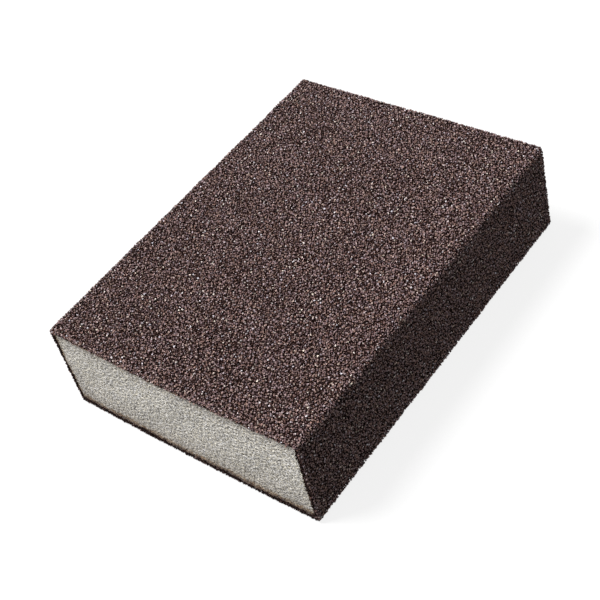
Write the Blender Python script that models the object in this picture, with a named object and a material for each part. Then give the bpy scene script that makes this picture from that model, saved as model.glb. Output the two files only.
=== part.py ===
"""Foam sanding block: a cut block of flexible foam with coarse abrasive bonded to its four long faces.

The two ends are cut foam. Each long face carries two bonded layers: a resin make coat next to the
foam, and a layer of mineral grit set in it. The layers of neighbouring faces meet at a mitre in the
middle of each rounded long edge. Nothing moves: every piece is bonded to the next.

Units are metres. X is the block's width, Y its length and Z its height. The origin is the middle of
the face that the block rests on.
"""

import math

import bmesh
import bpy

# Overall size of the block
LENGTH = 0.097
WIDTH = 0.070
HEIGHT = 0.025

# Layers, from the outside in
EDGE_RADIUS = 0.0018        # of the four long edges, on the outside of the grit
GRIT_DEPTH = 0.0006         # one coarse grain
MAKE_COAT_DEPTH = 0.0003    # resin film under the grains
BOND_GAP = 0.0003           # between bonded layers, so that their solids never overlap
SEAM_GAP = 0.0003           # between the layers of neighbouring faces, along the mitre

# The grit thins and rounds over where it reaches a cut end
END_ROUND_LENGTH = 0.0010
END_ROUND_DROP = 0.00040

# Depths of the layers' two faces below the outside of the block
MAKE_COAT_TOP = GRIT_DEPTH + BOND_GAP
CORE_TOP = MAKE_COAT_TOP + MAKE_COAT_DEPTH + BOND_GAP

# Smoothness
ARC_STEPS = 4               # faces in an eighth of a circle
END_STEPS = 4               # faces along the rounding at each end

# The four long faces: name, turn about the block's length, and whether it is a wide face
LONG_FACES = (
    ("top", 0.0, True),
    ("right", 90.0, False),
    ("bottom", 180.0, True),
    ("left", -90.0, False),
)

# Colour, roughness
FOAM_LOOK = ((0.42, 0.40, 0.365), 0.95)
RESIN_LOOK = ((0.055, 0.030, 0.024), 0.45)
GRIT_LOOK = ((0.105, 0.074, 0.070), 0.65)


def clear_scene():
    """Removes whatever the open file holds."""
    for thing in list(bpy.data.objects):
        bpy.data.objects.remove(thing)


def make_material(name, look):
    """A non-metallic Principled material of one colour and roughness."""
    colour, roughness = look
    material = bpy.data.materials.new(name)
    material.use_nodes = True
    shader = material.node_tree.nodes["Principled BSDF"]
    shader.inputs["Base Color"].default_value = (*colour, 1.0)
    shader.inputs["Roughness"].default_value = roughness
    shader.inputs["Metallic"].default_value = 0.0
    material.diffuse_color = (*colour, 1.0)
    return material


def loft(name, rings):
    """A closed mesh through rings of equal point counts, with a flat cap on the first and the last.

    Each ring runs clockwise as seen from its own side of increasing Y, and the rings go up in Y.
    """
    mesh_builder = bmesh.new()
    rows = [[mesh_builder.verts.new(point) for point in ring] for ring in rings]
    count = len(rows[0])
    for near, far in zip(rows, rows[1:]):
        for i in range(count):
            j = (i + 1) % count
            mesh_builder.faces.new((near[i], near[j], far[j], far[i]))
    mesh_builder.faces.new(list(reversed(rows[0])))
    mesh_builder.faces.new(rows[-1])
    bmesh.ops.recalc_face_normals(mesh_builder, faces=mesh_builder.faces)
    mesh = bpy.data.meshes.new(name)
    mesh_builder.to_mesh(mesh)
    mesh_builder.free()
    mesh.shade_smooth()
    mesh.set_sharp_from_angle(angle=math.radians(35))
    return mesh


def place(name, mesh, material, parent, turn=0.0):
    """Adds an object that is turned about the block's length, round the middle of the block."""
    thing = bpy.data.objects.new(name, mesh)
    thing.data.materials.append(material)
    thing.parent = parent
    thing.rotation_euler = (0.0, math.radians(turn), 0.0)
    bpy.context.scene.collection.objects.link(thing)
    return thing


def arc(centre_x, centre_z, radius, first, last, steps):
    """Points on a circle in the XZ plane. Angles are in radians, from +X towards +Z."""
    points = []
    for i in range(steps + 1):
        angle = first + (last - first) * i / steps
        points.append((centre_x + radius * math.cos(angle), centre_z + radius * math.sin(angle)))
    return points


def rounded_rectangle(half_x, half_z, radius):
    """Outline of the core's cross-section, round the block's middle."""
    corners = (
        (half_x - radius, half_z - radius, 0.0),
        (radius - half_x, half_z - radius, 0.5 * math.pi),
        (radius - half_x, radius - half_z, math.pi),
        (half_x - radius, radius - half_z, 1.5 * math.pi),
    )
    points = []
    for centre_x, centre_z, start in corners:
        points += arc(centre_x, centre_z, radius, start, start + 0.5 * math.pi, 2 * ARC_STEPS)
    return points


def edge_of_layer(half_span, face_height, depth):
    """One face of a layer, from the mitre at its +X edge to the mitre at its -X edge.

    half_span and face_height are to the block's outside, and depth is how far below it this face is.
    """
    radius = EDGE_RADIUS - depth
    centre_x = half_span - EDGE_RADIUS
    centre_z = face_height - EDGE_RADIUS
    seam = math.asin(0.5 * SEAM_GAP / radius)
    mitre = 0.25 * math.pi + seam
    right = arc(centre_x, centre_z, radius, mitre, 0.5 * math.pi, ARC_STEPS)
    left = arc(-centre_x, centre_z, radius, 0.5 * math.pi, math.pi - mitre, ARC_STEPS)
    return right + left


def layer_ring(y, half_span, face_height, outer_depth, inner_depth):
    """Cross-section of a layer at one place along the block."""
    outer = edge_of_layer(half_span, face_height, outer_depth)
    inner = edge_of_layer(half_span, face_height, inner_depth)
    return [(x, y, z) for x, z in outer + list(reversed(inner))]


def half_spans(is_wide):
    """Half the width of a long face, and its distance from the block's middle."""
    if is_wide:
        return 0.5 * WIDTH, 0.5 * HEIGHT
    return 0.5 * HEIGHT, 0.5 * WIDTH


def end_stations():
    """Places along the block, and how far the grit's surface has dropped there."""
    stations = []
    for i in range(END_STEPS + 1):
        angle = 0.5 * math.pi * i / END_STEPS
        inset = END_ROUND_LENGTH * (1.0 - math.cos(angle))
        drop = END_ROUND_DROP * (1.0 - math.sin(angle))
        stations.append((0.5 * LENGTH - inset, drop))
    near = [(-y, drop) for y, drop in stations]
    return near + list(reversed(stations))


def foam_core(parent):
    """The foam block inside the coats, bare at both ends."""
    outline = rounded_rectangle(
        0.5 * WIDTH - CORE_TOP,
        0.5 * HEIGHT - CORE_TOP,
        EDGE_RADIUS - CORE_TOP,
    )
    rings = [[(x, y, z) for x, z in outline] for y in (-0.5 * LENGTH, 0.5 * LENGTH)]
    mesh = loft("foam_core", rings)
    return place("foam_core", mesh, make_material("foam", FOAM_LOOK), parent)


def make_coat(face, turn, is_wide, material, parent):
    """The resin film that holds the grit on one long face."""
    half_span, face_height = half_spans(is_wide)
    inner_depth = MAKE_COAT_TOP + MAKE_COAT_DEPTH
    rings = [
        layer_ring(y, half_span, face_height, MAKE_COAT_TOP, inner_depth)
        for y in (-0.5 * LENGTH, 0.5 * LENGTH)
    ]
    name = "make_coat_" + face
    return place(name, loft(name, rings), material, parent, turn)


def grit_layer(face, turn, is_wide, material, parent):
    """The layer of abrasive grains on one long face, rounded over at both ends."""
    half_span, face_height = half_spans(is_wide)
    rings = [
        layer_ring(y, half_span, face_height, drop, GRIT_DEPTH)
        for y, drop in end_stations()
    ]
    name = "grit_" + face
    return place(name, loft(name, rings), material, parent, turn)


def build():
    """Builds the whole block on an empty at its middle."""
    clear_scene()
    middle = bpy.data.objects.new("block_middle", None)
    middle.location = (0.0, 0.0, 0.5 * HEIGHT)
    bpy.context.scene.collection.objects.link(middle)
    foam_core(middle)
    resin = make_material("resin", RESIN_LOOK)
    grit = make_material("grit", GRIT_LOOK)
    for face, turn, is_wide in LONG_FACES:
        make_coat(face, turn, is_wide, resin, middle)
        grit_layer(face, turn, is_wide, grit, middle)
    bpy.context.view_layer.update()


build()
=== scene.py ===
"""Looks for the foam sanding block: porous foam, resin make coats and thousands of separate grains.

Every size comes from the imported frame. The block is a rounded box. Each long face is mapped by two
lengths: one across it, from mitre to mitre, and one along it, which rolls over on to the cut ends.
Units are metres, in the row frame: X across, Y along, Z up.
"""

import math

import bmesh
import bpy
import numpy as np
from mathutils import Matrix, Vector


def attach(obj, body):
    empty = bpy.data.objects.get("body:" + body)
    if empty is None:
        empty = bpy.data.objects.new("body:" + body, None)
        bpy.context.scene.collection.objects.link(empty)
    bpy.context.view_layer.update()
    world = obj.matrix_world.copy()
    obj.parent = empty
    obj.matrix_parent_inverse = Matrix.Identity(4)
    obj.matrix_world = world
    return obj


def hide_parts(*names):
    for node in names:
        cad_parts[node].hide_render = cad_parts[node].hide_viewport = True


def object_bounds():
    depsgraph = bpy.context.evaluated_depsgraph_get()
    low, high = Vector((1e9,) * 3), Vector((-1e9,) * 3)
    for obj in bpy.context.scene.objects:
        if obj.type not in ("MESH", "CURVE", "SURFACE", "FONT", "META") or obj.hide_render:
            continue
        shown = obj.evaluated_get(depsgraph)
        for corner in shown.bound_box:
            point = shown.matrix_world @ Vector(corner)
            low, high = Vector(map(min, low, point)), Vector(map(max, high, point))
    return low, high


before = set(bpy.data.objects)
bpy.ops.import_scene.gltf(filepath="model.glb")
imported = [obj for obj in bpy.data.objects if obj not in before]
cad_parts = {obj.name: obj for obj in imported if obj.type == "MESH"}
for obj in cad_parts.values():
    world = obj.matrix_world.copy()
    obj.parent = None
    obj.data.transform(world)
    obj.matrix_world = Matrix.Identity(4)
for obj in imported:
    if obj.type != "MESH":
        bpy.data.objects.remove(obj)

MM = 0.001

cad_low, cad_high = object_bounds()
HALF_WIDTH = 0.5 * (cad_high.x - cad_low.x)
HALF_LENGTH = 0.5 * (cad_high.y - cad_low.y)
HALF_HEIGHT = 0.5 * (cad_high.z - cad_low.z)
MIDDLE = (cad_low + cad_high) / 2.0

# Rounding of the long edges and of the ends, to the tips of the grains
ROUND = 1.20 * MM
END_ROUND = 0.50 * MM
QUARTER = 0.5 * math.pi
MITRE = 0.25 * math.pi
FLAT_ALONG = HALF_LENGTH - END_ROUND        # where a long face starts to roll over on to an end
ROLLED = FLAT_ALONG + ROUND * QUARTER       # where it has reached the flat of the end
MOST_PAST = 4.0 * MM                        # the furthest that a coat may run down an end
HALVINGS = 24                               # steps of the search for where a coat ends
MITRE_SLACK = 0.02 * MM                     # how far short of ROLLED a coat may stop at its mitre
TINY_STEP = 0.01 * MM                       # a step along a face that shows which way it runs

# A cut block is never quite square: its ends bulge, it leans, and its faces are a little uneven
NEAR_BULGE = 0.30 * MM
FAR_BULGE = 0.12 * MM
BULGE_MIDDLE = 0.5              # share of the bulge that stands out in the middle; the rest draws in
NEAR_LEAN = 0.30 * MM           # the top of the near (-Y) end is cut this much further in
NEAR_LEAN_MIDDLE = 0.4          # share of that lean at half height
NEAR_TWIST = 0.40 * MM          # its top right corner is cut this much further in again
FAR_LEAN = 0.55 * MM            # the bottom of the far (+Y) end is cut this much further out
SIDE_LEAN = 0.12 * MM           # the bottom leans this much to the right, and the top to the left
RIGHT_SPREAD = 0.22 * MM        # the bottom of the right side is this much further out again
UNEVEN = 0.05 * MM
UNEVEN_WAVE = 15.0 * MM

# Depths below the tips of the grains
FOAM_DEPTH = 0.75 * MM
FOAM_WALL_DROP = 0.35 * MM      # further down, where the coats hide the foam
FOAM_HIDDEN_FROM = 0.75         # share of the rounding of an end at which that starts
RESIN_DEPTH = 0.50 * MM
GRAIN_DEPTH = 0.29 * MM
GRAIN_SCATTER = 0.055 * MM      # how unevenly deep the grains sit
RESIN_OVER_END = 0.05 * MM      # how far the resin stands proud of the rounding of an end
GRAIN_UNDER_END = 0.02 * MM     # how far the grains' middles lie inside it

# The tips of the tallest grains, which the block stands on, are this far below its plain CAD face
TALLEST_TIPS = 0.30 * MM

# Grains
GRAIN_PITCH = 0.535 * MM
GRAIN_RADIUS = 0.292 * MM
GRAIN_SHAPES = 48
GRAIN_JITTER = 0.34             # share of the pitch that a grain may stray from its place
GRAIN_CORNERS = (5, 6)
CORNER_REACH = (0.86, 1.14)     # how far the corners of a grain are from its middle
CORNER_PUSH = 0.06              # how hard the corners of a grain push each other apart,
CORNER_PUSHES = 12              # and how often
GRAIN_SIZES = (0.78, 1.16)      # of the whole grain
GRAIN_STRETCH = (0.84, 1.14)    # of each of its three axes
NEIGHBOUR_SHARE = 0.24          # how strongly the tone of a grain shuns those of its neighbours
SHADED_RIM_SHARE = 0.3                  # share of a rim of painted shade that is fully dark

# The ragged edge where a coat ends
EDGE_STRAY = 0.24 * MM
EDGE_WAVE = 1.5 * MM
GRAIN_STRAY = 0.17 * MM
RESIN_PAST_GRAINS = 0.10 * MM
RESIN_THINS_OVER = 0.5 * MM
RESIN_EDGE_SHARE = 0.12         # share of its depth that the resin keeps at its very edge
RESIN_LUMPS = 0.05 * MM
RESIN_LUMP_WAVE = 0.9 * MM
RESIN_MITRE_GAP = 0.01 * MM     # how far short of its mitres the resin of a face stops

# Grids
RESIN_STEP = 0.42 * MM
FOAM_STEP = 0.205 * MM
FOAM_JITTER = 0.3               # share of the step that a grid point of the foam may stray

# Pores in the ends of the foam. Places and widths are shares of the pitch
PORE_PITCH = 0.55 * MM
PORE_PLACE = (0.14, 0.86)
PORE_WIDTH = (0.40, 0.58)
PORE_SHARE = (0.55, 1.0)        # shares of the full depth
PORE_DEPTH = 0.27 * MM
FOAM_ROUGH = 0.02 * MM
FOAM_ROUGH_WAVE = 0.9 * MM
FOAM_SWELL = 0.05 * MM
FOAM_SWELL_WAVE = 14.0 * MM
CELL_SCALE = 3500.0             # cells of the cut foam per metre

# The long faces: name, turn about Y in degrees, whether it is wide, and how wide a rim of its grains
# at its ends is darkened with painted shade
FACES = (
    ("top", 0.0, True, 0.0),
    ("right", 90.0, False, 1.2 * MM),
    ("bottom", 180.0, True, 2.6 * MM),
    ("left", -90.0, False, 1.6 * MM),
)

# The window of bare foam at each end. For each of its sides: how far in it is, how deep the resin has
# soaked into the foam there, and the strength and depth of the painted shade past that, darker towards
# that side
WINDOW = {
    "right": (0.76 * MM, 0.22 * MM, 0.05, 1.0 * MM),
    "left": (1.12 * MM, 0.46 * MM, 0.30, 2.2 * MM),
    "top": (0.96 * MM, 0.22 * MM, 0.56, 2.0 * MM),
    "bottom": (1.70 * MM, 1.06 * MM, 0.56, 6.4 * MM),
}
WINDOW_CORNER = 0.90 * MM

# The UV map that colours are baked to. Of the grains, faces that look out get this share of it
BAKE_MAP = "OFBake"
OUTER_SHARE = 0.80
CHART_ALONG = 0.49              # half lengths of a face's chart, which leave a margin round it
CHART_ACROSS = 0.48
SHEET_CHART = 0.48              # a closed sheet: height of the charts of its two sides,
SHEET_BACK = 0.49               # where the chart of its back starts,
SHEET_WALL = 0.98               # and where that of its rim starts

# Smooth noise sums this many plane waves, spread between these multiples of its middle frequency
NOISE_WAVES = 28
NOISE_FREQUENCIES = (0.6, 1.6)

# Seeds of the random draws. Those of the faces and ends count up from these
UNEVEN_SEED = 11
EDGE_SEED = 41
SHAPE_SEED = 7
RESIN_SEED = 101
GRAIN_SEED = 200
NEAR_FOAM_SEED = 301
FAR_FOAM_SEED = 351

# The camera stands above the near right corner. Angles are in degrees, from -Y towards +X
CAMERA_AZIMUTH = 47.88
CAMERA_ELEVATION = 44.88
CAMERA_ROLL = -15.97
CAMERA_DISTANCE = 0.28601
CAMERA_AIM = Vector((0.0, -0.00505, 0.00891))
CAMERA_LENS = 74.08
CAMERA_SENSOR = 36.0

# The studio
WHITE = (1.0, 1.0, 1.0, 1.0)
FLOOR_SIZE = 12.0
FLOOR_GREY = (0.17, 0.17, 0.17, 1.0)
FLOOR_GLOW = 0.83
DOME_LOW = 0.22                 # strength of the dome's light below the horizon
DOME_HIGH = 0.41
DOME_TURN = 0.25                # height of the direction at which the dome has reached either
KEY_STRENGTH = 4.65
KEY_ANGLE = 24.0                # how broad the key light is, in degrees
KEY_FROM = Vector((-0.46, -0.25, 0.852))


# ---------------------------------------------------------------- small tools

def smooth_noise(points, wavelength, seed):
    """A smooth random field of about unit size at each point: a sum of plane waves."""
    draw = np.random.default_rng(seed)
    directions = draw.normal(size=(NOISE_WAVES, points.shape[1]))
    directions /= np.linalg.norm(directions, axis=1)[:, None]
    frequency = 2.0 * math.pi / wavelength * draw.uniform(*NOISE_FREQUENCIES, NOISE_WAVES)
    phase = draw.uniform(0.0, 2.0 * math.pi, NOISE_WAVES)
    angle = points @ (directions * frequency[:, None]).T + phase
    return np.cos(angle).sum(axis=1) * math.sqrt(2.0 / NOISE_WAVES)


def smoothstep(low, high, value):
    """0 below low, 1 above high, smooth between."""
    t = np.clip((value - low) / (high - low), 0.0, 1.0)
    return t * t * (3.0 - 2.0 * t)


def mesh_from_arrays(name, points, faces, places, attributes, smooth):
    """A mesh object from arrays of points, faces that all have the same sides, and their UV places."""
    sides = faces.shape[1]
    mesh = bpy.data.meshes.new(name)
    mesh.vertices.add(len(points))
    mesh.vertices.foreach_set("co", points.astype(np.float32).ravel())
    mesh.loops.add(faces.size)
    mesh.loops.foreach_set("vertex_index", faces.astype(np.int32).ravel())
    mesh.polygons.add(len(faces))
    mesh.polygons.foreach_set("loop_start", np.arange(0, faces.size, sides, dtype=np.int32))
    for key, values in attributes.items():
        layer = mesh.attributes.new(key, "FLOAT", "POINT")
        layer.data.foreach_set("value", values.astype(np.float32))
    mesh.update(calc_edges=True)
    mesh.uv_layers.new(name=BAKE_MAP).uv.foreach_set("vector", places.astype(np.float32).ravel())
    if smooth:
        mesh.shade_smooth()
    else:
        mesh.shade_flat()
    thing = bpy.data.objects.new(name, mesh)
    bpy.context.scene.collection.objects.link(thing)
    return thing


def closed_sheet(name, front, back, attributes):
    """A closed body between two grids of points, each of rows by columns, joined round their rims."""
    rows, columns = front.shape[:2]
    index = np.arange(rows * columns).reshape(rows, columns)
    quads = np.stack(
        [index[:-1, :-1], index[:-1, 1:], index[1:, 1:], index[1:, :-1]], axis=-1
    ).reshape(-1, 4)
    rim = np.concatenate([index[0, :-1], index[:-1, -1], index[-1, :0:-1], index[:0:-1, 0]])
    following = np.roll(rim, -1)
    walls = np.stack([following, rim, rim + index.size, following + index.size], axis=1)
    faces = np.concatenate([quads, quads[:, ::-1] + index.size, walls])
    row, column = np.divmod(np.arange(index.size), columns)
    place = np.stack([column / (columns - 1), SHEET_CHART * row / (rows - 1)], axis=1)
    step = np.arange(len(rim) + 1) / len(rim)
    wall_places = np.stack(
        [
            np.stack([step[1:], step[:-1], step[:-1], step[1:]], axis=1),
            np.tile([SHEET_WALL, SHEET_WALL, 1.0, 1.0], (len(rim), 1)),
        ],
        axis=-1,
    )
    back_places = place[quads[:, ::-1]] + (0.0, SHEET_BACK)
    places = np.concatenate([place[quads], back_places, wall_places])
    points = np.concatenate([front.reshape(-1, 3), back.reshape(-1, 3)])
    return mesh_from_arrays(name, points, faces, places, attributes, smooth=True)


def turned(local, turn):
    """Takes (across, along, out) of a long face to (x, y, z) from the block's middle."""
    angle = math.radians(turn)
    across, along, out = local.T
    x = across * math.cos(angle) + out * math.sin(angle)
    z = -across * math.sin(angle) + out * math.cos(angle)
    return np.stack([x, along, z], axis=1)


def settled(points):
    """Takes points of a perfectly square block, from its middle, to the real one in the row frame."""
    x, y, z = points.T
    high = z / HALF_HEIGHT
    near = np.clip(-y / HALF_LENGTH, 0.0, 1.0)
    far = np.clip(y / HALF_LENGTH, 0.0, 1.0)
    right = np.clip(x / HALF_WIDTH, 0.0, 1.0)
    bulge = (NEAR_BULGE * -near + FAR_BULGE * far) * (BULGE_MIDDLE - (x / HALF_WIDTH) ** 2)
    near_lean = NEAR_LEAN * (NEAR_LEAN_MIDDLE + (1.0 - NEAR_LEAN_MIDDLE) * high)
    near_lean = near_lean + NEAR_TWIST * right * np.maximum(high, 0.0)
    far_lean = 0.5 * FAR_LEAN * (1.0 - high)
    lumpy = UNEVEN * smooth_noise(points, UNEVEN_WAVE, UNEVEN_SEED)
    moved = np.stack(
        [
            x - SIDE_LEAN * high + 0.5 * RIGHT_SPREAD * right * (1.0 - high),
            y + bulge + near_lean * near + far_lean * far,
            z + lumpy,
        ],
        axis=1,
    )
    return moved + np.array(MIDDLE)


# ---------------------------------------------------------------- the shape of a long face

def half_spans(is_wide):
    """Half the width of a long face, and its distance from the block's middle."""
    if is_wide:
        return HALF_WIDTH, HALF_HEIGHT
    return HALF_HEIGHT, HALF_WIDTH


def across_limit(is_wide):
    """Length across a face from its middle to its mitre."""
    return half_spans(is_wide)[0] - ROUND + ROUND * MITRE


def window_sides(points):
    """How far inside each side of the window of bare foam the points are, seen along Y."""
    x, _, z = points.T
    return {
        "right": HALF_WIDTH - WINDOW["right"][0] - x,
        "left": x + HALF_WIDTH - WINDOW["left"][0],
        "top": HALF_HEIGHT - WINDOW["top"][0] - z,
        "bottom": z + HALF_HEIGHT - WINDOW["bottom"][0],
    }


def window_distance(points):
    """How far outside the window of bare foam each point is, seen along Y. It is negative inside."""
    inside = window_sides(points)
    out_x = WINDOW_CORNER - np.minimum(inside["right"], inside["left"])
    out_z = WINDOW_CORNER - np.minimum(inside["top"], inside["bottom"])
    beyond = np.hypot(np.maximum(out_x, 0.0), np.maximum(out_z, 0.0))
    return beyond + np.minimum(np.maximum(out_x, out_z), 0.0) - WINDOW_CORNER


def along_limit(across, turn, is_wide, ragged):
    """Length along a face at which its coat ends: where it meets the window or a neighbour's coat.

    A positive ragged takes the edge that far into the window, and a negative one keeps it out.
    """
    flat_across = half_spans(is_wide)[0] - ROUND
    low = np.full(across.shape, FLAT_ALONG)
    mitred = ROLLED + np.maximum(flat_across - np.abs(across), -MITRE_SLACK)
    high = np.minimum(mitred, ROLLED + MOST_PAST)
    for _ in range(HALVINGS):
        middle = 0.5 * (low + high)
        point, _ = coat_point(across, middle, is_wide, ROUND, END_ROUND)
        outside = window_distance(turned(point, turn)) > -ragged
        low = np.where(outside, middle, low)
        high = np.where(outside, high, middle)
    return low


def coat_point(across, along, is_wide, side_radius, end_radius):
    """Points and normals of a long face, as (across, along, out), for lengths across and along it.

    The radii are those of the rounding of the long edges and of the ends, at some depth in the coat.
    """
    half_span, distance = half_spans(is_wide)
    flat_across = half_span - ROUND
    theta = np.clip((np.abs(across) - flat_across) / ROUND, 0.0, MITRE) * np.sign(across)
    phi = np.clip((np.abs(along) - FLAT_ALONG) / ROUND, 0.0, QUARTER) * np.sign(along)
    past = np.maximum(0.0, np.abs(along) - ROLLED)
    normal = np.stack(
        [np.sin(theta) * np.cos(phi), np.sin(phi), np.cos(theta) * np.cos(phi)], axis=1
    )
    point = np.stack(
        [
            np.clip(across, -flat_across, flat_across) + side_radius * normal[:, 0],
            np.clip(along, -FLAT_ALONG, FLAT_ALONG) + end_radius * normal[:, 1],
            distance - ROUND + side_radius * normal[:, 2] - past,
        ],
        axis=1,
    )
    return point, normal


# ---------------------------------------------------------------- grains

def grain_shapes(draw):
    """Small angular crystals: hulls of a few random corners on a sphere."""
    shapes = []
    for number in range(GRAIN_SHAPES):
        corners = GRAIN_CORNERS[number % len(GRAIN_CORNERS)]
        spread = draw.normal(size=(corners, 3))
        for _ in range(CORNER_PUSHES):
            spread /= np.linalg.norm(spread, axis=1)[:, None]
            apart = spread[:, None, :] - spread[None, :, :]
            gap = np.linalg.norm(apart, axis=2) + np.eye(corners)
            spread = spread + CORNER_PUSH * (apart / gap[:, :, None] ** 3).sum(axis=1)
        spread /= np.linalg.norm(spread, axis=1)[:, None]
        spread *= draw.uniform(*CORNER_REACH, (corners, 1))
        builder = bmesh.new()
        for corner in spread:
            builder.verts.new(corner)
        hull = bmesh.ops.convex_hull(builder, input=builder.verts)
        inside = [v for v in hull["geom_interior"] if isinstance(v, bmesh.types.BMVert)]
        bmesh.ops.delete(builder, geom=inside, context="VERTS")
        bmesh.ops.recalc_face_normals(builder, faces=builder.faces)
        builder.verts.index_update()
        points = np.array([v.co for v in builder.verts])
        faces = np.array([[v.index for v in f.verts] for f in builder.faces])
        builder.free()
        shapes.append((points, faces))
    return shapes


def random_turns(draw, count):
    """Rotation matrices spread evenly over all turns."""
    q = draw.normal(size=(count, 4))
    w, x, y, z = (q / np.linalg.norm(q, axis=1)[:, None]).T
    return np.stack(
        [
            np.stack([1 - 2 * (y * y + z * z), 2 * (x * y - z * w), 2 * (x * z + y * w)], axis=1),
            np.stack([2 * (x * y + z * w), 1 - 2 * (x * x + z * z), 2 * (y * z - x * w)], axis=1),
            np.stack([2 * (x * z - y * w), 2 * (y * z + x * w), 1 - 2 * (x * x + y * y)], axis=1),
        ],
        axis=1,
    )


def end_waves(across, along):
    """How far a coat's edge strays at each place, a little different at the two ends."""
    places = np.stack([across, np.sign(along) * HALF_LENGTH], axis=1)
    return EDGE_STRAY * smooth_noise(places, EDGE_WAVE, EDGE_SEED)


def even_tones(draw, rows, columns):
    """A tone from 0 to 1 for each place of a lattice, spread so that like tones seldom touch."""
    rough = draw.uniform(0.0, 1.0, (rows, columns))
    around = (
        np.roll(rough, 1, 0) + np.roll(rough, -1, 0) + np.roll(rough, 1, 1) + np.roll(rough, -1, 1)
    )
    rank = (rough - NEIGHBOUR_SHARE * around).ravel().argsort().argsort()
    return rank / (rows * columns - 1.0)


def grain_places(draw, face):
    """Where the grains of a face sit, as lengths across and along it, and their tones.

    They sit on a jittered lattice. The grains in the rim at each end are darkened with painted shade.
    """
    _, turn, is_wide, rim = face
    span = across_limit(is_wide)
    reach = ROLLED + MOST_PAST
    row_gap = GRAIN_PITCH * math.sqrt(0.75)
    rows = int(2.0 * reach / row_gap)
    columns = int(2.0 * span / GRAIN_PITCH)
    row, column = np.meshgrid(np.arange(rows), np.arange(columns), indexing="ij")
    # Every other row is half a step over
    across = (column + 0.25 + 0.5 * (row % 2)) / columns * 2.0 * span - span
    along = (row + 0.5) / rows * 2.0 * reach - reach
    stray = draw.uniform(-GRAIN_JITTER, GRAIN_JITTER, across.shape) * GRAIN_PITCH
    across = np.clip((across + stray).ravel(), -span, span)
    stray = draw.uniform(-GRAIN_JITTER, GRAIN_JITTER, along.shape) * GRAIN_PITCH
    along = (along + stray).ravel()
    tone = even_tones(draw, rows, columns)
    ragged = draw.normal(0.0, GRAIN_STRAY, across.shape) + end_waves(across, along)
    inside = along_limit(across, turn, is_wide, ragged) - np.abs(along)
    # Painted shade: the grains' tones fade to dark towards each end, across the rim
    if rim > 0.0:
        tone = tone * smoothstep(SHADED_RIM_SHARE * rim, rim, inside)
    kept = inside > 0.0
    return across[kept], along[kept], tone[kept]


def grain_charts(shaped, faces, across, along, normal, ahead, is_wide):
    """UV places of the grains' corners: the faces that look out apart from those that look in."""
    sideways = np.cross(normal, ahead)
    u = (along[:, None] + np.einsum("nki,ni->nk", shaped, ahead)) / (ROLLED + MOST_PAST)
    v = (across[:, None] + np.einsum("nki,ni->nk", shaped, sideways)) / across_limit(is_wide)
    u = 0.5 + CHART_ALONG * u[:, faces]
    v = 0.5 + CHART_ACROSS * v[:, faces]
    corners = shaped[:, faces]
    facing = np.cross(corners[:, :, 1] - corners[:, :, 0], corners[:, :, 2] - corners[:, :, 0])
    outward = np.einsum("nfi,ni->nf", facing, normal)[:, :, None] > 0.0
    v = np.where(outward, OUTER_SHARE * v, OUTER_SHARE + (1.0 - OUTER_SHARE) * v)
    return np.stack([u, v], axis=-1).reshape(-1, 2)


def grit(face, shapes, seed):
    """All the grains of one long face, as one object of separate closed crystals."""
    name, turn, is_wide, _ = face
    draw = np.random.default_rng(seed)
    across, along, tone = grain_places(draw, face)
    count = len(across)
    radii = (ROUND - GRAIN_DEPTH, END_ROUND - GRAIN_UNDER_END)
    centre, normal = coat_point(across, along, is_wide, *radii)
    further, _ = coat_point(across, along + TINY_STEP, is_wide, *radii)
    ahead = turned(further - centre, turn)
    ahead /= np.linalg.norm(ahead, axis=1)[:, None]
    centre = centre + normal * draw.normal(0.0, GRAIN_SCATTER, (count, 1))
    centre = settled(turned(centre, turn))
    normal = turned(normal, turn)
    turns = random_turns(draw, count)
    size = GRAIN_RADIUS * draw.uniform(*GRAIN_SIZES, (count, 1))
    size = size * draw.uniform(*GRAIN_STRETCH, (count, 3))
    hue = draw.uniform(0.0, 1.0, count)
    kind = draw.integers(0, len(shapes), count)
    all_points = []
    all_faces = []
    all_places = []
    tones = []
    hues = []
    rises = []
    first = 0
    for number, (points, faces) in enumerate(shapes):
        some = np.nonzero(kind == number)[0]
        shaped = points[None, :, :] * size[some][:, None, :]
        shaped = np.einsum("nij,nkj->nki", turns[some], shaped)
        rise = np.einsum("nki,ni->nk", shaped, normal[some]) / GRAIN_RADIUS
        all_points.append((shaped + centre[some][:, None, :]).reshape(-1, 3))
        offsets = first + np.arange(len(some))[:, None, None] * len(points)
        all_faces.append((faces[None, :, :] + offsets).reshape(-1, 3))
        all_places.append(
            grain_charts(shaped, faces, across[some], along[some], normal[some], ahead[some], is_wide)
        )
        tones.append(np.repeat(tone[some], len(points)))
        hues.append(np.repeat(hue[some], len(points)))
        rises.append(rise.ravel())
        first += len(some) * len(points)
    return mesh_from_arrays(
        "grit_grains_" + name,
        np.concatenate(all_points),
        np.concatenate(all_faces),
        np.concatenate(all_places),
        {
            "grain_tone": np.concatenate(tones),
            "grain_hue": np.concatenate(hues),
            "grain_rise": np.concatenate(rises),
        },
        smooth=False,
    )


# ---------------------------------------------------------------- resin

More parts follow.
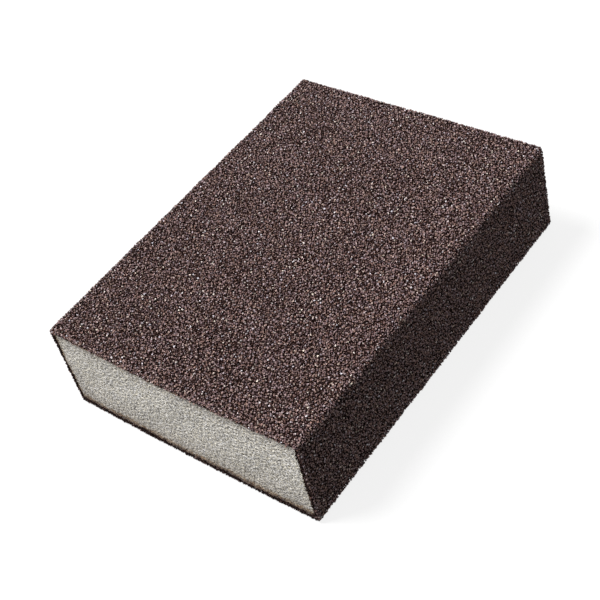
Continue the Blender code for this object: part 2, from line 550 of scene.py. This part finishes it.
def resin(face, seed):
    """The make coat of one long face: a thin closed sheet with a lumpy outside."""
    name, turn, is_wide, _ = face
    span = across_limit(is_wide) - RESIN_MITRE_GAP
    columns = int(2.0 * span / RESIN_STEP)
    rows = int(2.0 * HALF_LENGTH / RESIN_STEP)
    share_along, share_across = np.meshgrid(
        np.linspace(-1.0, 1.0, rows + 1), np.linspace(-1.0, 1.0, columns + 1), indexing="ij"
    )
    across = (share_across * span).ravel()
    ragged = end_waves(across, share_along.ravel()) + RESIN_PAST_GRAINS
    limit = along_limit(across, turn, is_wide, ragged)
    along = share_along.ravel() * limit
    full = smoothstep(0.0, RESIN_THINS_OVER, limit - np.abs(along))
    outer, normal = coat_point(
        across, along, is_wide, ROUND - RESIN_DEPTH, END_ROUND + RESIN_OVER_END
    )
    inner, _ = coat_point(across, along, is_wide, ROUND - FOAM_DEPTH, END_ROUND - RESIN_OVER_END)
    lumps = RESIN_LUMPS * smooth_noise(outer, RESIN_LUMP_WAVE, seed)
    outer = outer + normal * (lumps * full)[:, None]
    thinned = RESIN_EDGE_SHARE + (1.0 - RESIN_EDGE_SHARE) * full
    outer = inner + (outer - inner) * thinned[:, None]
    front, back = (
        settled(turned(layer, turn)).reshape(rows + 1, columns + 1, 3) for layer in (outer, inner)
    )
    return closed_sheet("resin_coat_" + name, front, back, {})


# ---------------------------------------------------------------- foam

def pores(u, v, seed):
    """Depth of small round pits, 0 to 1, for places on a plane: one pit in each jittered cell."""
    draw = np.random.default_rng(seed)
    cell_u = np.floor(u / PORE_PITCH).astype(int)
    cell_v = np.floor(v / PORE_PITCH).astype(int)
    low_u, low_v = cell_u.min() - 1, cell_v.min() - 1
    shape = (cell_u.max() - low_u + 3, cell_v.max() - low_v + 3)
    place_u = draw.uniform(*PORE_PLACE, shape)
    place_v = draw.uniform(*PORE_PLACE, shape)
    width = draw.uniform(*PORE_WIDTH, shape)
    depth = draw.uniform(*PORE_SHARE, shape)
    deepest = np.zeros(u.shape)
    for step_u in (-1, 0, 1):
        for step_v in (-1, 0, 1):
            i = cell_u + step_u - low_u
            j = cell_v + step_v - low_v
            du = u / PORE_PITCH - (cell_u + step_u + place_u[i, j])
            dv = v / PORE_PITCH - (cell_v + step_v + place_v[i, j])
            pit = depth[i, j] * (1.0 - smoothstep(0.0, 1.0, np.hypot(du, dv) / width[i, j]))
            deepest = np.maximum(deepest, pit)
    return deepest


def foam_end(sign, seed):
    """One rounded, porous end of the foam: a grid of points, and its pore, stain and painted shade
    values.
    """
    flat_x = HALF_WIDTH - ROUND
    flat_z = HALF_HEIGHT - ROUND
    roll = ROUND * QUARTER
    columns = 2 * round((flat_x + roll) / FOAM_STEP)
    rows = 2 * round((flat_z + roll) / FOAM_STEP)
    t, s = np.meshgrid(
        np.linspace(-flat_z - roll, flat_z + roll, rows + 1),
        np.linspace(-flat_x - roll, flat_x + roll, columns + 1),
        indexing="ij",
    )
    draw = np.random.default_rng(seed)
    inside = np.zeros(s.shape, bool)
    inside[1:-1, 1:-1] = True
    s = s + np.where(inside, draw.uniform(-FOAM_JITTER, FOAM_JITTER, s.shape) * FOAM_STEP, 0.0)
    t = t + np.where(inside, draw.uniform(-FOAM_JITTER, FOAM_JITTER, t.shape) * FOAM_STEP, 0.0)
    over_s = np.maximum(0.0, np.abs(s) - flat_x) / ROUND
    over_t = np.maximum(0.0, np.abs(t) - flat_z) / ROUND
    tilt = np.minimum(np.maximum(over_s, over_t), QUARTER)
    least = np.minimum(over_s, over_t) / np.maximum(np.maximum(over_s, over_t), 1e-9)
    bearing = np.where(over_s >= over_t, MITRE * least, QUARTER - MITRE * least)
    normal = np.stack(
        [
            np.sin(tilt) * np.cos(bearing) * np.sign(s),
            sign * np.cos(tilt),
            np.sin(tilt) * np.sin(bearing) * np.sign(t),
        ],
        axis=-1,
    )
    side = ROUND - FOAM_DEPTH
    middle = np.stack(
        [
            np.clip(s, -flat_x, flat_x),
            np.full(s.shape, sign * FLAT_ALONG),
            np.clip(t, -flat_z, flat_z),
        ],
        axis=-1,
    )
    points = middle + normal * np.array([side, END_ROUND, side])
    pit = pores(s, t, seed + 1)
    flat = np.stack([s.ravel(), t.ravel()], axis=1)
    swell = smooth_noise(flat, FOAM_SWELL_WAVE, seed + 2).reshape(s.shape)
    rough = smooth_noise(flat, FOAM_ROUGH_WAVE, seed + 3).reshape(s.shape)
    hidden = smoothstep(FOAM_HIDDEN_FROM * QUARTER, QUARTER, tilt)
    relief = FOAM_ROUGH * rough - PORE_DEPTH * pit + FOAM_SWELL * (swell - 1.0)
    push = relief * (1.0 - hidden) - FOAM_WALL_DROP * hidden
    points = (points + normal * push[..., None]).reshape(-1, 3)
    stain, painted_edge_shade = soaked(points)
    return settled(points).reshape(*s.shape, 3), (pit.ravel(), stain, painted_edge_shade)


def soaked(points):
    """How much resin has soaked into the foam at each place of an end, and how dark its painted shade
    is.
    """
    stain = np.zeros(len(points))
    clear = np.ones(len(points))
    for side, inside in window_sides(points).items():
        _, soak_depth, strength, painted_shade_depth = WINDOW[side]
        inside = np.maximum(0.0, inside)
        stain = np.maximum(stain, np.exp(-inside / soak_depth))
        # Painted shade: the foam darkens towards each side of the window
        clear *= 1.0 - strength * np.exp(-inside / painted_shade_depth)
    return stain, 1.0 - clear


def foam():
    """The foam core: two porous ends, and plain sides that the coats hide."""
    near, near_values = foam_end(-1.0, NEAR_FOAM_SEED)
    far, far_values = foam_end(1.0, FAR_FOAM_SEED)
    attributes = {
        name: np.concatenate(pair)
        for name, pair in zip(("pore", "stain", "painted_edge_shade"), zip(near_values, far_values))
    }
    return closed_sheet("foam_block", near, far, attributes)


# ---------------------------------------------------------------- materials

def feed(socket, source):
    """Links the output socket source to an input socket."""
    socket.id_data.links.new(source, socket)


def new_material(name):
    """A node material with a Principled shader: the material, its shader and a maker of nodes.

    The maker takes a kind of node, values and links for its inputs, and its own settings.
    """
    material = bpy.data.materials.new(name)
    material.use_nodes = True
    tree = material.node_tree
    shader = tree.nodes["Principled BSDF"]

    def node(kind, values=None, links=None, **settings):
        made = tree.nodes.new(kind)
        for key, value in settings.items():
            setattr(made, key, value)
        for key, value in (values or {}).items():
            made.inputs[key].default_value = value
        for key, source in (links or {}).items():
            feed(made.inputs[key], source)
        return made

    return material, shader, node


def ramp(node, factor, stops):
    """A colour ramp of (place, colour) stops, fed by factor."""
    made = node("ShaderNodeValToRGB", links={"Fac": factor})
    elements = made.color_ramp.elements
    while len(elements) < len(stops):
        elements.new(0.5)
    for element, (place, colour) in zip(elements, stops):
        element.position = place
        element.color = (*colour, 1.0)
    return made.outputs["Color"]


def mix_colour(node, factor, first, second, blend="MIX"):
    """Mixes two colours. Each, and the factor, may be a value or a socket."""
    made = node("ShaderNodeMix", data_type="RGBA", blend_type=blend)
    # The inputs 0, 6 and 7 and the output 2 of a mix node are those for colours
    for number, value in ((0, factor), (6, first), (7, second)):
        socket = made.inputs[number]
        if isinstance(value, bpy.types.NodeSocket):
            feed(socket, value)
        elif isinstance(value, tuple):
            socket.default_value = (*value, 1.0)
        else:
            socket.default_value = value
    return made.outputs[2]


def stored(node, name):
    """A value that the mesh stores at its points."""
    return node("ShaderNodeAttribute", attribute_name=name).outputs["Fac"]


def noise(node, place, scale, detail):
    """A noise texture's value. The scale is per metre."""
    made = node("ShaderNodeTexNoise", {"Scale": scale, "Detail": detail}, {"Vector": place})
    return made.outputs["Fac"]


def map_range(node, value, values, **settings):
    """Maps a value from one range to another."""
    return node("ShaderNodeMapRange", values, {"Value": value}, **settings).outputs["Result"]


def bump(node, shader, height, strength, distance):
    """Gives the shader a bump from a height value."""
    made = node("ShaderNodeBump", {"Strength": strength, "Distance": distance}, {"Height": height})
    feed(shader.inputs["Normal"], made.outputs["Normal"])


def grain_material():
    """Brown fused aluminium oxide under a clear size coat: each grain has its own tone."""
    material, shader, node = new_material("grain_mineral")
    place = node("ShaderNodeTexCoord").outputs["Object"]
    colour = ramp(node, stored(node, "grain_tone"), (
        (0.00, (0.012, 0.005, 0.005)),
        (0.14, (0.190, 0.108, 0.102)),
        (0.45, (0.304, 0.200, 0.193)),
        (0.80, (0.364, 0.265, 0.258)),
        (0.95, (0.545, 0.443, 0.436)),
        (1.00, (0.920, 0.850, 0.825)),
    ))
    tint = ramp(node, stored(node, "grain_hue"), (
        (0.0, (1.06, 1.00, 0.85)),
        (0.5, (1.00, 1.00, 1.00)),
        (1.0, (0.95, 1.00, 1.14)),
    ))
    colour = mix_colour(node, 1.0, colour, tint, "MULTIPLY")
    mottle = noise(node, place, 5200.0, 3.0)
    colour = mix_colour(node, 0.35, colour, mottle, "MULTIPLY")
    worn = ramp(node, noise(node, place, 130.0, 2.0), (
        (0.30, (0.92, 0.91, 0.91)),
        (0.70, (1.08, 1.08, 1.08)),
    ))
    colour = mix_colour(node, 1.0, colour, worn, "MULTIPLY")
    # The foot of each grain is darkened: partly the dark resin it sits in, partly painted shade
    # between the grains
    clear_of_resin_and_shade = map_range(
        node,
        stored(node, "grain_rise"),
        {"From Min": -0.30, "From Max": 0.60, "To Min": 0.0, "To Max": 1.0},
        interpolation_type="SMOOTHSTEP",
    )
    colour = mix_colour(node, clear_of_resin_and_shade, (0.006, 0.002, 0.0015), colour)
    feed(shader.inputs["Base Color"], colour)
    feed(shader.inputs["Roughness"], map_range(node, mottle, {"To Min": 0.30, "To Max": 0.62}))
    shader.inputs["IOR"].default_value = 1.5
    shader.inputs["Specular IOR Level"].default_value = 0.30
    shader.inputs["Specular Tint"].default_value = (1.0, 0.70, 0.64, 1.0)
    bump(node, shader, mottle, 0.35, 0.03 * MM)
    return material


def resin_material():
    """Dark cured phenolic resin, glossy and lumpy."""
    material, shader, node = new_material("phenolic_resin")
    place = node("ShaderNodeTexCoord").outputs["Object"]
    cloudy = noise(node, place, 1400.0, 4.0)
    colour = ramp(node, cloudy, (
        (0.30, (0.006, 0.002, 0.0015)),
        (0.55, (0.014, 0.006, 0.005)),
        (0.75, (0.034, 0.016, 0.012)),
    ))
    feed(shader.inputs["Base Color"], colour)
    feed(shader.inputs["Roughness"], map_range(node, cloudy, {"To Min": 0.35, "To Max": 0.65}))
    shader.inputs["Specular IOR Level"].default_value = 0.10
    shader.inputs["Specular Tint"].default_value = (1.0, 0.65, 0.58, 1.0)
    bump(node, shader, cloudy, 0.5, 0.05 * MM)
    return material


def foam_cells(node, place):
    """Light and dark of the cells that the cut laid open, their dark openings being painted shade, and
    the distance from each cell's middle.
    """
    cells = node("ShaderNodeTexVoronoi", {"Scale": CELL_SCALE}, {"Vector": place})
    walls = node(
        "ShaderNodeTexVoronoi", {"Scale": CELL_SCALE}, {"Vector": place}, feature="DISTANCE_TO_EDGE"
    )
    chance = node("ShaderNodeSeparateColor", None, {"Color": cells.outputs["Color"]})
    # Painted shade: a random share of the cells are dark openings, while the walls between them stay
    # light
    shade = ramp(node, chance.outputs["Red"], (
        (0.0, (0.08, 0.07, 0.065)),
        (0.30, (0.48, 0.47, 0.45)),
        (0.52, (0.98, 0.98, 0.98)),
        (1.0, (1.26, 1.26, 1.26)),
    ))
    in_cell = map_range(
        node,
        walls.outputs["Distance"],
        {"From Min": 0.02, "From Max": 0.11},
        interpolation_type="SMOOTHSTEP",
    )
    shade = mix_colour(node, in_cell, (1.05, 1.05, 1.05), shade)
    tint = ramp(node, chance.outputs["Green"], (
        (0.0, (1.04, 1.00, 0.88)),
        (1.0, (0.97, 1.00, 1.10)),
    ))
    return shade, tint, cells.outputs["Distance"]


def resin_stain(node, place):
    """Patchy brown where resin has soaked into the foam, to multiply its colour by."""
    blotch = noise(node, place, 1100.0, 4.0)
    uneven = node("ShaderNodeMath", {1: 3.2, 2: -0.55}, {0: blotch}, operation="MULTIPLY_ADD")
    patchy = node(
        "ShaderNodeMath", None, {0: stored(node, "stain"), 1: uneven.outputs[0]}, operation="MULTIPLY"
    )
    return ramp(node, patchy.outputs[0], (
        (0.12, (1.0, 1.0, 1.0)),
        (0.36, (0.66, 0.52, 0.37)),
        (0.58, (0.28, 0.145, 0.065)),
        (0.82, (0.040, 0.018, 0.008)),
    ))


def foam_material():
    """Pale grey open-cell foam with pores darkened by painted shade, a brown stain where the resin
    soaked in, and painted shade towards the sides of each end's window.
    """
    material, shader, node = new_material("cut_foam")
    place = node("ShaderNodeTexCoord").outputs["Object"]
    # Painted shade: the foam is darker the deeper its pits
    colour = ramp(node, stored(node, "pore"), (
        (0.0, (0.94, 0.906, 0.838)),
        (0.40, (0.60, 0.577, 0.530)),
        (1.0, (0.14, 0.130, 0.114)),
    ))
    cell_shade, cell_tint, from_middle = foam_cells(node, place)
    colour = mix_colour(node, 0.95, colour, cell_shade, "MULTIPLY")
    colour = mix_colour(node, 1.0, colour, cell_tint, "MULTIPLY")
    speckle = noise(node, place, 4200.0, 3.0)
    speck_shade = ramp(node, speckle, (
        (0.35, (0.66, 0.65, 0.63)),
        (0.62, (1.12, 1.12, 1.12)),
    ))
    colour = mix_colour(node, 0.9, colour, speck_shade, "MULTIPLY")
    cloud_shade = ramp(node, noise(node, place, 90.0, 3.0), (
        (0.3, (0.97, 0.97, 0.965)),
        (0.7, (1.02, 1.02, 1.02)),
    ))
    colour = mix_colour(node, 1.0, colour, cloud_shade, "MULTIPLY")
    colour = mix_colour(node, 1.0, colour, resin_stain(node, place), "MULTIPLY")
    # Painted shade, tinted brown: the foam darkens towards the sides of its window
    colour = mix_colour(node, stored(node, "painted_edge_shade"), colour, (0.080, 0.036, 0.012))
    feed(shader.inputs["Base Color"], colour)
    shader.inputs["Roughness"].default_value = 0.92
    shader.inputs["Sheen Weight"].default_value = 0.15
    height = node("ShaderNodeMath", None, {0: from_middle, 1: speckle}, operation="ADD")
    bump(node, shader, height.outputs[0], 0.6, 0.10 * MM)
    return material


def floor_material():
    """Plain pale studio floor that glows, which keeps the shadow on it faint."""
    material, shader, _ = new_material("studio_floor")
    shader.inputs["Base Color"].default_value = FLOOR_GREY
    shader.inputs["Emission Color"].default_value = WHITE
    shader.inputs["Emission Strength"].default_value = FLOOR_GLOW
    shader.inputs["Roughness"].default_value = 0.9
    shader.inputs["Specular IOR Level"].default_value = 0.0
    return material


# ---------------------------------------------------------------- studio

def studio_floor():
    """A wide floor under the grains' tips, which throws no light back at the block."""
    height = cad_low.z - TALLEST_TIPS
    bpy.ops.mesh.primitive_plane_add(size=FLOOR_SIZE, location=(0.0, 0.0, height))
    floor = bpy.context.active_object
    floor.name = "studio_floor"
    floor.data.materials.append(floor_material())
    floor.visible_diffuse = False
    floor.visible_glossy = False


def studio_dome():
    """A soft white dome, dimmer below the horizon, that is plain white where the camera sees it."""
    world = bpy.data.worlds.new("studio_dome")
    world.use_nodes = True
    nodes = world.node_tree.nodes
    dome = nodes["Background"]
    dome.inputs["Color"].default_value = WHITE
    direction = nodes.new("ShaderNodeSeparateXYZ")
    feed(direction.inputs[0], nodes.new("ShaderNodeTexCoord").outputs["Generated"])
    strength = nodes.new("ShaderNodeMapRange")
    strength.inputs["From Min"].default_value = -DOME_TURN
    strength.inputs["From Max"].default_value = DOME_TURN
    strength.inputs["To Min"].default_value = DOME_LOW
    strength.inputs["To Max"].default_value = DOME_HIGH
    feed(strength.inputs["Value"], direction.outputs["Z"])
    feed(dome.inputs["Strength"], strength.outputs["Result"])
    backdrop = nodes.new("ShaderNodeBackground")
    backdrop.inputs["Color"].default_value = WHITE
    backdrop.inputs["Strength"].default_value = 1.0
    either = nodes.new("ShaderNodeMixShader")
    feed(either.inputs[0], nodes.new("ShaderNodeLightPath").outputs["Is Camera Ray"])
    feed(either.inputs[1], dome.outputs[0])
    feed(either.inputs[2], backdrop.outputs[0])
    feed(nodes["World Output"].inputs["Surface"], either.outputs[0])
    bpy.context.scene.world = world


def key_light():
    """One broad key light from above, from the left and a little in front."""
    key = bpy.data.lights.new("key", "SUN")
    key.energy = KEY_STRENGTH
    key.angle = math.radians(KEY_ANGLE)
    lamp = bpy.data.objects.new("key", key)
    lamp.rotation_mode = "QUATERNION"
    lamp.rotation_quaternion = KEY_FROM.to_track_quat("Z", "Y")
    bpy.context.scene.collection.objects.link(lamp)


def studio():
    """A plain pale floor, a soft dome and a key light, shown with plain colours."""
    studio_floor()
    studio_dome()
    key_light()
    scene = bpy.context.scene
    scene.view_settings.view_transform = "Standard"
    scene.view_settings.look = "None"


def camera():
    """A camera above the near right corner, rolled about its own axis."""
    azimuth = math.radians(CAMERA_AZIMUTH)
    elevation = math.radians(CAMERA_ELEVATION)
    back = Vector((
        math.sin(azimuth) * math.cos(elevation),
        -math.cos(azimuth) * math.cos(elevation),
        math.sin(elevation),
    ))
    data = bpy.data.cameras.new("camera")
    data.lens = CAMERA_LENS
    data.sensor_width = CAMERA_SENSOR
    data.clip_start = 0.01
    data.clip_end = 50.0
    thing = bpy.data.objects.new("camera", data)
    level = back.to_track_quat("Z", "Y").to_matrix()
    rolled = level @ Matrix.Rotation(math.radians(CAMERA_ROLL), 3, "Z")
    thing.rotation_mode = "QUATERNION"
    thing.rotation_quaternion = rolled.to_quaternion()
    thing.location = CAMERA_AIM + back * CAMERA_DISTANCE
    bpy.context.scene.collection.objects.link(thing)
    bpy.context.scene.camera = thing


# ---------------------------------------------------------------- build

def dress(thing, material, node_name):
    """Gives a piece its material, and ties it to the frame in place of a CAD node."""
    thing.data.materials.append(material)
    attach(thing, "root")
    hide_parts(node_name)


def build():
    """Builds every visible piece."""
    camera()
    studio()
    foam_piece = foam()
    dress(foam_piece, foam_material(), "foam_core")
    mineral = grain_material()
    phenolic = resin_material()
    shapes = grain_shapes(np.random.default_rng(SHAPE_SEED))
    for number, face in enumerate(FACES):
        coat = resin(face, RESIN_SEED + number)
        dress(coat, phenolic, "make_coat_" + face[0])
        grains = grit(face, shapes, GRAIN_SEED + number)
        dress(grains, mineral, "grit_" + face[0])


build()
